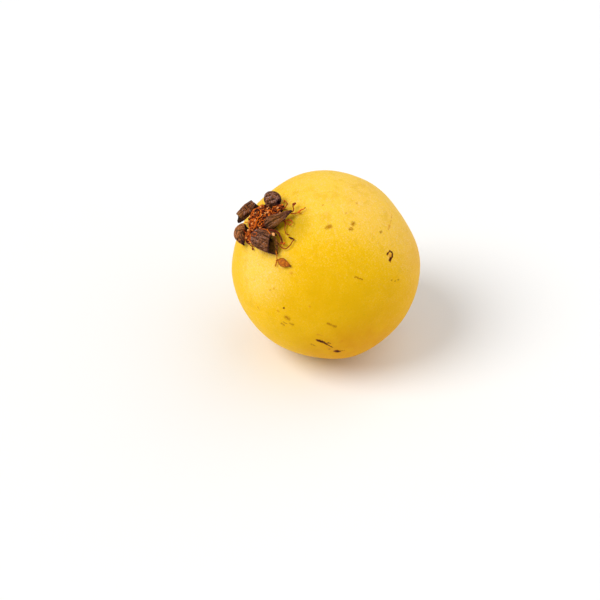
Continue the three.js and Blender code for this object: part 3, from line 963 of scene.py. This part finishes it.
def take_in(bm, part):
    """Moves the part's geometry, with its layers, into the bmesh."""
    carrier = mesh_from(part, "carrier")
    bm.from_mesh(carrier)
    bpy.data.meshes.remove(carrier)


def tube(points, radius_at, sides, steps, flat=1.0):
    """A closed tube along the points. radius_at gives its radius at (share along, turn round)."""
    part = bmesh.new()
    part.from_mesh(unit_tube(sides, steps))
    frames = carried_frames(points, steps)
    for vert in part.verts:
        share = vert.co.z + 0.5
        turn = math.atan2(vert.co.y, vert.co.x)
        vert.co = round_path(*frames[round(share * steps)], turn, radius_at(share, turn), flat)
    return part


def add_filament(bm, points, radius, tone, seed, sides=MAT_SIDES):
    """A dried filament: an uneven, slightly flattened thread, thinner towards its tip."""
    points = vectors(points)
    length = sum((points[i + 1] - points[i]).length for i in range(len(points) - 1))
    steps = max(5, round(length * sides * STEPS_PER_MM))

    def radius_at(share, turn):
        along = share * length
        uneven = noise_at(seed * 7.3, along * 1.4, 0)
        shrunk = noise_at(1.3 * math.cos(turn), 1.3 * math.sin(turn) + seed, along * 1.9)
        return radius * mix(*FILAMENT_TAPER, share) * (1 + 0.35 * uneven + 0.4 * shrunk)

    thread = tube(points, radius_at, sides, steps, FILAMENT_FLAT)
    tone_layer = new_layer(thread, "tone")
    for vert in thread.verts:
        vert[tone_layer] = clamp(tone + 0.06 * noise.noise(Vector((seed, vert.co.x, vert.co.y)) * 0.9))
    take_in(bm, thread)


def add_anther(bm, place, along, size, tone, seed, sides=CLEAR_SIDES):
    """A shrivelled two-lobed anther: a small ball stretched, creased down the middle and dented."""
    head = bmesh.new()
    head.from_mesh(unit_ball(sides))
    tone_layer = new_layer(head, "tone")
    turn = Vector(along).normalized().to_track_quat("Z", "Y").to_matrix()
    for vert in head.verts:
        crease = 1 - ANTHER_CREASE * hump(vert.co.x, 0.35)
        dent = 1 + ANTHER_DENT * noise.noise(vert.co * 1.5 + Vector((seed * 3.1, 0, 0)))
        creased = Vector((vert.co.x, vert.co.y * crease, vert.co.z)) * dent
        vert.co = Vector(place) + turn @ (creased * Vector(size))
        vert[tone_layer] = clamp(tone + 0.12 * noise.noise(vert.co * 3.1))
    take_in(bm, head)


# Loose stamens: filaments as (points from the root, tone), anthers as (place, along, size, tone).
STAMENS = {
    "stamen_upper_hook": (
        [([(7.0, -2.6, 32.4), (8.3, -3.2, 32.2), (9.6, -3.1, 31.9), (10.3, -2.5, 31.7),
           (10.25, -1.1, 31.5), (9.7, 0.6, 30.9)], 0.42)],
        [((9.7, 0.75, 30.8), (0.2, 1, 0.2), (0.34, 0.36, 0.46), 0.66)],
    ),
    "stamen_upper_straight": (
        [([(9.2, -5.0, 30.9), (10.3, -5.1, 30.2), (10.9, -4.9, 30.3), (11.3, -4.3, 30.75),
           (11.8, -3.6, 30.6)], 0.38)],
        [((11.9, -3.5, 30.6), (1, 0.2, -0.3), (0.42, 0.42, 0.6), 0.36)],
    ),
    "stamen_forked": (
        [([(9.3, -5.5, 30.9), (10.2, -6.1, 29.9), (11.2, -6.3, 29.2), (11.9, -6.9, 28.7)], 0.52),
         ([(11.0, -6.3, 29.3), (12.4, -6.0, 28.9), (13.0, -6.2, 28.7), (13.7, -6.0, 28.4)], 0.62)],
        [((13.7, -6.0, 28.4), (1, 0, -0.4), (0.16, 0.16, 0.3), 0.12)],
    ),
    "stamen_curl": (
        [([(6.6, -5.9, 30.9), (7.3, -6.9, 30.6), (8.2, -7.6, 30.3), (8.3, -8.5, 29.9),
           (7.5, -8.9, 29.9), (6.8, -8.2, 30.2), (7.0, -7.5, 30.5)], 0.5)],
        [],
    ),
    "stamen_hook": (
        [([(6.2, -5.9, 31.1), (6.4, -7.2, 30.6), (5.6, -8.2, 30.4), (4.9, -9.2, 30.1),
           (4.5, -10.2, 29.6), (5.1, -10.9, 29.2)], 0.4)],
        [],
    ),
    "stamen_long_bent": (
        [([(0.9, -11.6, 30.3), (0.9, -12.8, 29.7), (1.2, -13.7, 29.1), (1.9, -14.1, 28.5),
           (3.5, -14.1, 28.4), (4.6, -13.6, 28.4), (5.6, -13.4, 28.3)], 0.4),
         ([(5.5, -13.4, 28.3), (5.2, -12.7, 28.8), (4.6, -12.1, 29.1)], 0.12)],
        [((4.95, -12.45, 29.0), (-0.5, 1, 0.4), (0.28, 0.3, 0.8), 0.16)],
    ),
    "stamen_lower_left": (
        [([(-7.6, -0.6, 32.7), (-7.9, -1.8, 31.9), (-7.7, -3.1, 30.9), (-7.5, -3.8, 30.6),
           (-7.8, -4.4, 30.3)], 0.38)],
        [((-7.8, -4.55, 30.3), (0, -1, -0.3), (0.32, 0.32, 0.42), 0.3)],
    ),
}
FILAMENT_RADIUS = 0.2
STYLE_PATH = [(1.6, -7.4, 33.2), (2.4, -8.2, 32.6), (3.0, -9.2, 31.9), (3.0, -10.3, 31.3),
              (2.6, -11.6, 30.5), (2.0, -12.7, 29.8)]
STYLE_RADIUS = 0.32


def build_stamen(name, filaments, anthers, seed, material):
    bm = bmesh.new()
    for index, (points, tone) in enumerate(filaments):
        add_filament(bm, points, FILAMENT_RADIUS, tone, seed + index, FINE_SIDES)
    for index, anther in enumerate(anthers):
        add_anther(bm, *anther, seed + index, FINE_SIDES)
    bmesh.ops.recalc_face_normals(bm, faces=bm.faces)
    finish_piece(bm, "dried_" + name, material, name)


def build_style(material):
    """The thickest strand, with two anthers stuck to its end."""
    bm = bmesh.new()
    add_filament(bm, STYLE_PATH, STYLE_RADIUS, 0.16, 3, FINE_SIDES)
    add_anther(bm, (2.3, -12.9, 29.7), (1, 0, 0), (0.42, 0.44, 0.5), 0.55, 1, FINE_SIDES)
    add_anther(bm, (1.8, -12.4, 30.2), (0.4, 1, 0), (0.38, 0.42, 0.46), 0.42, 2, FINE_SIDES)
    bmesh.ops.recalc_face_normals(bm, faces=bm.faces)
    finish_piece(bm, "dried_style", material, "style")


# ---- Tuft of matted stamens ----
# The mat's mounds: middle, half sizes, and how much of the mat lies on each.
MOUNDS = [
    ((0.3, 0.6, 32.5), (5.3, 5.6, 1.7), 0.6),
    ((6.0, -1.9, 31.9), (3.4, 1.9, 1.15), 0.19),
    ((-5.5, -1.4, 31.4), (2.7, 2.6, 1.15), 0.15),
    ((-6.2, 0.9, 31.4), (1.6, 1.7, 1.0), 0.06),
]
MAT_FLOOR = 31.2  # how low the mat reaches
MAT_FILAMENTS = 270
RISING_FILAMENTS = 22
MAT_ANTHERS = 235
HIGHEST_CLIMB = 1.1  # how far up a lobe a filament wanders, in mm
LONGEST_JUMP = 0.9
FILAMENT_TONES = (0.0, 0.05, 0.12, 0.25, 0.4, 0.52, 0.62, 0.7)
ANTHER_TONES = (0.0, 0.0, 0.05, 0.12, 0.25, 0.42, 0.52, 0.6, 0.68, 0.76, 0.88)
PALE_TONE = 0.93
# Anthers' half sizes: across, through and along, in mm.
RISING_ANTHER = (0.22, 0.22, 0.32)
MAT_ANTHER = (0.26, 0.22, 0.36)
PALE_ANTHER = (0.33, 0.3, 0.44)
SKY = 45.0  # a height above everything on the fruit, in mm
# Where each kind's seeds start, so that no two strands are alike.
RISING_SEED = 300
DRAPED_SEED = 400
LOOP_SEED = 440
PALE_SEED = 500
# Filaments that lie over the lobes or bound the mat: places seen from above it, tone and radius.
DRAPED = [
    ([(3.6, 3.4), (3.1, 3.8), (1.4, 4.6), (-0.2, 4.8), (-1.7, 4.6), (-2.9, 3.9), (-3.8, 2.8), (-4.2, 1.6)],
     0.55, 0.34),
    ([(0.0, -4.5), (0.9, -4.1), (2.2, -4.2), (2.7, -3.2)], 0.6, 0.18),
    ([(1.0, -5.0), (1.1, -6.4), (1.2, -7.7), (1.3, -9.3)], 0.6, 0.19),
    ([(0.0, -3.7), (-0.6, -5.0), (0.4, -6.3), (1.0, -7.4)], 0.55, 0.16),
    ([(-4.9, -5.3), (-5.3, -4.2), (-5.2, -3.1), (-4.3, -2.2), (-3.1, -2.3), (-2.0, -3.1)], 0.62, 0.2),
    ([(-2.8, -4.5), (-2.0, -6.4), (-3.0, -6.7), (-3.8, -5.3), (-3.0, -4.4)], 0.48, 0.16),
    ([(-7.4, -0.6), (-7.2, 0.5), (-5.6, 0.2), (-4.2, -0.3), (-2.8, -1.2), (-1.7, -2.3)], 0.6, 0.22),
    ([(-3.0, 1.8), (-3.2, 0.0), (-4.2, -0.1), (-5.3, 0.0)], 0.45, 0.17),
    ([(-1.7, -2.2), (-2.4, -2.0), (-3.6, -2.2), (-4.4, -3.4), (-4.9, -4.6)], 0.58, 0.17),
    ([(-5.2, 0.8), (-5.9, -0.9), (-6.5, -1.9), (-6.7, -3.2), (-7.2, -4.0)], 0.42, 0.2),
    ([(-6.3, 2.2), (-6.9, 0.9), (-7.6, -0.4), (-7.3, -2.2)], 0.32, 0.16),
    ([(4.5, 1.1), (5.2, -1.0), (6.4, -1.3), (7.6, -2.0), (8.4, -2.9), (9.2, -3.8)], 0.4, 0.18),
    ([(4.4, -2.5), (5.5, -3.0), (6.7, -3.3), (8.1, -3.4)], 0.35, 0.15),
    ([(1.8, 3.4), (2.3, 1.0), (3.3, -0.1), (3.8, -1.4), (4.4, -2.4)], 0.38, 0.16),
    ([(-1.7, 2.1), (-0.4, 0.9), (0.9, -0.1), (2.1, -1.5)], 0.3, 0.15),
]
# Loops of filament in the thick of the mat: middle, radius and tone.
LOOPS = [
    ((-1.1, 0.4), 0.55, 0.6),
    ((-0.5, -1.2), 0.7, 0.68),
    ((-1.6, -1.9), 0.6, 0.6),
    ((-0.1, -3.0), 0.65, 0.66),
    ((1.0, -2.2), 0.65, 0.6),
    ((0.6, -0.4), 0.55, 0.64),
    ((-1.3, 2.6), 0.6, 0.5),
]
LOOP_RADIUS = 0.16
LOOP_POINTS = 9
LOOP_STEP = 0.75  # how far a loop turns from point to point, in radians
LOOP_CLEARING = 0.62  # how far off the middle of a loop the mat's anthers keep, in mm
# Pale anthers that stand out on the mat: places seen from above it, and size.
PALE_ANTHERS = [
    ((2.7, 3.4), 0.9),
    ((4.5, 0.7), 0.8),
    ((2.0, -0.5), 0.8),
    ((-1.0, 0.0), 1.1),
    ((-5.4, 1.3), 1.0),
    ((-0.8, -3.8), 1.1),
    ((3.9, -1.3), 0.8),
    ((-2.7, 4.4), 0.8),
    ((-2.6, 0.4), 0.8),
    ((7.6, -2.3), 0.7),
    ((0.4, 2.7), 0.8),
    ((-3.4, 2.9), 0.7),
    ((1.9, -9.9), 1.4),
]


def height_over(trees, x, y):
    """The highest of these surfaces and the fruit's round over this place."""
    tops = [tree.ray_cast(Vector((x, y, SKY)), -UP)[0] for tree in trees]
    heights = [top.z for top in tops if top]
    return max(heights + [math.sqrt(FRUIT_RADIUS**2 - x**2 - y**2)])


def off_loops(x, y):
    """How far this place is from the middle of the nearest loop, in mm."""
    return min(math.hypot(x - middle[0], y - middle[1]) for middle, _, _ in LOOPS)


def somewhere_on_mat(rng, spread):
    middle, size, _ = rng.choices(MOUNDS, [mound[2] for mound in MOUNDS])[0]
    around = rng.uniform(0, 2 * math.pi)
    out = spread * math.sqrt(rng.random())
    return middle[0] + size[0] * out * math.cos(around), middle[1] + size[1] * out * math.sin(around)


def wandering_filament(rng, trees):
    """A filament that wanders over the mat and the feet of the lobes, dipping in and out."""
    x, y = somewhere_on_mat(rng, 0.95)
    heading = rng.uniform(0, 2 * math.pi)
    bend = rng.uniform(-0.9, 0.9)
    points = []
    for _ in range(rng.randint(5, 12)):
        top = height_over(trees, x, y)
        climbed = top - height_over(trees[-1:], x, y)
        if top < MAT_FLOOR or climbed > HIGHEST_CLIMB or off_loops(x, y) < 0.7 * LOOP_CLEARING:
            break
        if points and abs(top - points[-1].z) > LONGEST_JUMP:
            break
        points.append(Vector((x, y, top + rng.uniform(-0.25, 0.4))))
        step = rng.uniform(0.45, 0.85)
        x += step * math.cos(heading)
        y += step * math.sin(heading)
        heading += bend + rng.uniform(-0.5, 0.5)
    return points


def rising_filament(rng, trees):
    """A filament that stands up out of the mat and leans outwards."""
    x, y = somewhere_on_mat(rng, 0.8)
    foot = Vector((x, y, height_over(trees, x, y) - 0.3))
    lean = Vector((x, y, 0)).normalized() + Vector((rng.uniform(-1, 1), rng.uniform(-1, 1), 0))
    reach = rng.uniform(0.4, 0.9)
    elbow = foot + Vector((lean.x * 0.3, lean.y * 0.3, 0.4 + 0.3 * reach))
    return [foot, elbow, elbow + Vector((lean.x * reach, lean.y * reach, rng.uniform(-0.3, 0.3)))]


def loop_filament(index, x, y, size, mat):
    """A ragged loop of filament that stands a little off the mat."""
    points = []
    for step in range(LOOP_POINTS):
        turn = step * LOOP_STEP
        out = size * (1 + 0.9 * noise_at(index * 3.3, step * 0.7, 0))
        place = (x + out * math.cos(turn), y + 0.7 * out * math.sin(turn + index))
        points.append(Vector((*place, height_over([mat], *place) + 0.45 + 0.05 * step)))
    return points


def add_mounds(bm):
    """The dense, dark and pitted heart of the mat, darker in its pits: painted shade in the depths
    of the mat over the dark red of the dried stamens.
    """
    tone_layer = new_layer(bm, "tone")
    for middle, size, _ in MOUNDS:
        for vert in bmesh.ops.create_icosphere(bm, subdivisions=5, radius=1)["verts"]:
            pitted = 0.12 * noise.noise(vert.co * 4) + 0.16 * noise.noise(vert.co * 11)
            vert.co = Vector(middle) + vert.co * (0.88 + pitted) * Vector(size)
            # Painted shade: the deeper the pit, the darker the tone.
            vert[tone_layer] = clamp(0.8 * pitted)


def add_mat_filaments(bm, rng, mat, covered):
    laid = 0
    while laid < MAT_FILAMENTS:
        points = wandering_filament(rng, covered)
        if len(points) > 2:
            tone = rng.choice(FILAMENT_TONES)
            add_filament(bm, points, rng.uniform(0.07, 0.13), tone, laid)
            laid += 1
    for index in range(RISING_FILAMENTS):
        points = rising_filament(rng, [mat])
        tone = rng.uniform(0.3, 0.6)
        add_filament(bm, points, rng.uniform(0.08, 0.13), tone, RISING_SEED + index)
        add_anther(bm, points[-1], points[-1] - points[-2], RISING_ANTHER, tone + 0.15, index)
    for index, (places, tone, radius) in enumerate(DRAPED):
        points = [Vector((x, y, height_over(covered, x, y) + radius)) for x, y in places]
        add_filament(bm, points, radius, tone, DRAPED_SEED + index, CLEAR_SIDES)
    for index, ((x, y), size, tone) in enumerate(LOOPS):
        points = loop_filament(index, x, y, size, mat)
        add_filament(bm, points, LOOP_RADIUS, tone, LOOP_SEED + index, CLEAR_SIDES)


def add_mat_anthers(bm, rng, mat, covered):
    placed = 0
    while placed < MAT_ANTHERS:
        x, y = somewhere_on_mat(rng, 0.98)
        top = height_over([mat], x, y)
        if off_loops(x, y) < LOOP_CLEARING or top < max(MAT_FLOOR, height_over(COVERED, x, y)):
            continue
        along = (rng.uniform(-1, 1), rng.uniform(-1, 1), rng.uniform(-0.5, 0.8))
        size = Vector(MAT_ANTHER) * rng.uniform(0.7, 1.25)
        tone = rng.choice(ANTHER_TONES)
        add_anther(bm, (x, y, top + rng.uniform(-0.1, 0.5)), along, size, tone, placed)
        placed += 1
    for index, ((x, y), scale) in enumerate(PALE_ANTHERS):
        along = (rng.uniform(-1, 1), rng.uniform(-1, 1), 0.3)
        place = (x, y, height_over(covered, x, y) + 0.35)
        size = Vector(PALE_ANTHER) * scale
        add_anther(bm, place, along, size, PALE_TONE, PALE_SEED + index, FINE_SIDES)


def build_tuft(material):
    rng = random.Random(7)
    bm = bmesh.new()
    add_mounds(bm)
    mat = BVHTree.FromBMesh(bm)
    covered = COVERED + [mat]
    add_mat_filaments(bm, rng, mat, covered)
    add_mat_anthers(bm, rng, mat, covered)
    bmesh.ops.recalc_face_normals(bm, faces=bm.faces)
    finish_piece(bm, "dried_stamen_tuft", material, "stamen_tuft")


# ---- Bract ----
BRACT_MIDRIB = [(-2.9, -14.5, 28.3), (-2.2, -15.7, 27.8), (-1.6, -17.2, 27.1), (-0.6, -18.6, 25.9)]
BRACT_HALF_WIDTHS = [0.14, 0.58, 1.02, 1.25, 1.3, 1.18, 0.92, 0.54, 0.06]
BRACT_SHEET = 0.14
# Stalks: points, radius and seed.
BRACT_STALKS = [
    ([(-1.2, -12.6, 29.6), (-1.4, -13.4, 29.6), (-2.0, -14.1, 29.0), (-3.0, -14.6, 28.2)], 0.24, 5),
    ([(-3.0, -14.5, 28.3), (-3.8, -14.9, 27.8), (-4.8, -15.1, 27.3)], 0.2, 6),
]


def build_bract(material):
    bm = bmesh.new()
    relief_layer = new_layer(bm, "relief")
    edge_layer = new_layer(bm, "edge")
    midrib = vectors(BRACT_MIDRIB)
    outwards = Vector((0, -0.5, 1)).normalized()
    bmesh.ops.create_grid(bm, x_segments=70, y_segments=40, size=1)
    for vert in bm.verts:
        share = (vert.co.x + 1) / 2
        side = vert.co.y
        middle, across, rise = path_frame(midrib, share, outwards)
        width = smooth_between(BRACT_HALF_WIDTHS, share) * (1 + 0.08 * noise_at(share * 9, side, 1))
        ripple = 0.12 * noise_at(share * 6, side * 1.7, 3)
        veins = (0.04 * math.cos(8 * math.pi * (share - 0.2 * abs(side)))) * (1 - hump(side, 0.2))
        arch = 0.42 * width * (1 - side**2) + 0.07 * hump(side, 0.14)
        vert.co = middle + across * width * side + rise * (arch - 0.2 + ripple + veins)
        vert[relief_layer] = clamp(0.4 + 4 * veins + 2.2 * ripple + 0.3 * hump(side, 0.12))
        vert[edge_layer] = clamp(max(hump(1 - abs(side), 0.08), hump(1 - share, 0.1)))
    bmesh.ops.recalc_face_normals(bm, faces=bm.faces)
    thicken(bm, BRACT_SHEET)
    leaf_verts = len(bm.verts)
    for points, radius, seed in BRACT_STALKS:
        add_filament(bm, points, radius, 0.4, seed, FINE_SIDES)
    relief_layer = bm.verts.layers.float["relief"]
    for vert in bm.verts[leaf_verts:]:
        vert[relief_layer] = clamp(0.55 + 0.5 * noise.noise(vert.co * 1.3))
    finish_piece(bm, "dried_bract", material, "bract")


# ---- Floor, light and camera ----
FLOOR_HALF_WIDTH = 2.5
# Soft far lights, which fall evenly on the fruit and the floor: name, azimuth, elevation and
# spread in degrees, power and colour.
LIGHTS = [
    ("key", -88, 50, 35, 1.95, (1.0, 0.99, 0.97)),
    ("fill", 84, 38, 100, 1.15, (1.0, 1.0, 1.0)),
]
SKY_POWER = 0.4
CAMERA_AZIMUTH = -17.9
CAMERA_ELEVATION = 40.0
CAMERA_DISTANCE = 0.4707
CAMERA_LENS = 85.0
CAMERA_FILM = 36.0
AIM_ASIDE = 0.0088  # the fruit stands this far right of what the camera aims at
AIM_BELOW = 0.01146  # and this far above it


def sight_line(azimuth, elevation):
    """Unit vector from the fruit to a viewer at these degrees. Azimuth 0 is on the -Y side."""
    turn, rise = math.radians(azimuth), math.radians(elevation)
    return Vector((math.sin(turn) * math.cos(rise), -math.cos(turn) * math.cos(rise), math.sin(rise)))


def build_floor():
    bm = bmesh.new()
    bmesh.ops.create_grid(bm, x_segments=1, y_segments=1, size=FLOOR_HALF_WIDTH)
    floor = add_object("floor", mesh_from(bm, "floor"))
    material, tree, shader = new_material("pale_floor")
    feed(tree, shader, {"Base Color": (0.93, 0.93, 0.93), "Roughness": 0.9})
    floor.data.materials.append(material)


def light_studio():
    world = bpy.data.worlds.new("studio")
    world.use_nodes = True
    sky = {"Color": (1.0, 1.0, 1.0), "Strength": SKY_POWER}
    feed(world.node_tree, world.node_tree.nodes["Background"], sky)
    bpy.context.scene.world = world
    for name, azimuth, elevation, spread, power, colour in LIGHTS:
        light = bpy.data.lights.new(name, "SUN")
        light.angle = math.radians(spread)
        light.energy = power
        light.color = colour
        lamp = add_object(name, light)
        lamp.rotation_euler = sight_line(azimuth, elevation).to_track_quat("Z", "Y").to_euler()


def place_camera():
    data = bpy.data.cameras.new("camera")
    data.lens = CAMERA_LENS
    data.sensor_width = CAMERA_FILM
    data.clip_start = 0.01
    camera = add_object("camera", data)
    away = sight_line(CAMERA_AZIMUTH, CAMERA_ELEVATION)
    right = UP.cross(away).normalized()
    aim = CENTRE - right * AIM_ASIDE - away.cross(right) * AIM_BELOW
    camera.location = aim + away * CAMERA_DISTANCE
    camera.rotation_euler = away.to_track_quat("Z", "Y").to_euler()
    bpy.context.scene.camera = camera
    bpy.context.scene.view_settings.view_transform = "Standard"


# ---- The whole picture ----
place_camera()
light_studio()
build_floor()
build_fruit(skin_material())
dried_sepal = sepal_material()
for order, (lobe_name, lobe_shape) in enumerate(LOBES.items()):
    build_lobe(lobe_name, lobe_shape, 3.7 * (order + 1), dried_sepal)
dried_stamen = stamen_material()
build_tuft(dried_stamen)
for order, (stamen_name, (threads, heads)) in enumerate(STAMENS.items()):
    build_stamen(stamen_name, threads, heads, 10 * order + 1, dried_stamen)
build_style(dried_stamen)
build_bract(bract_material())
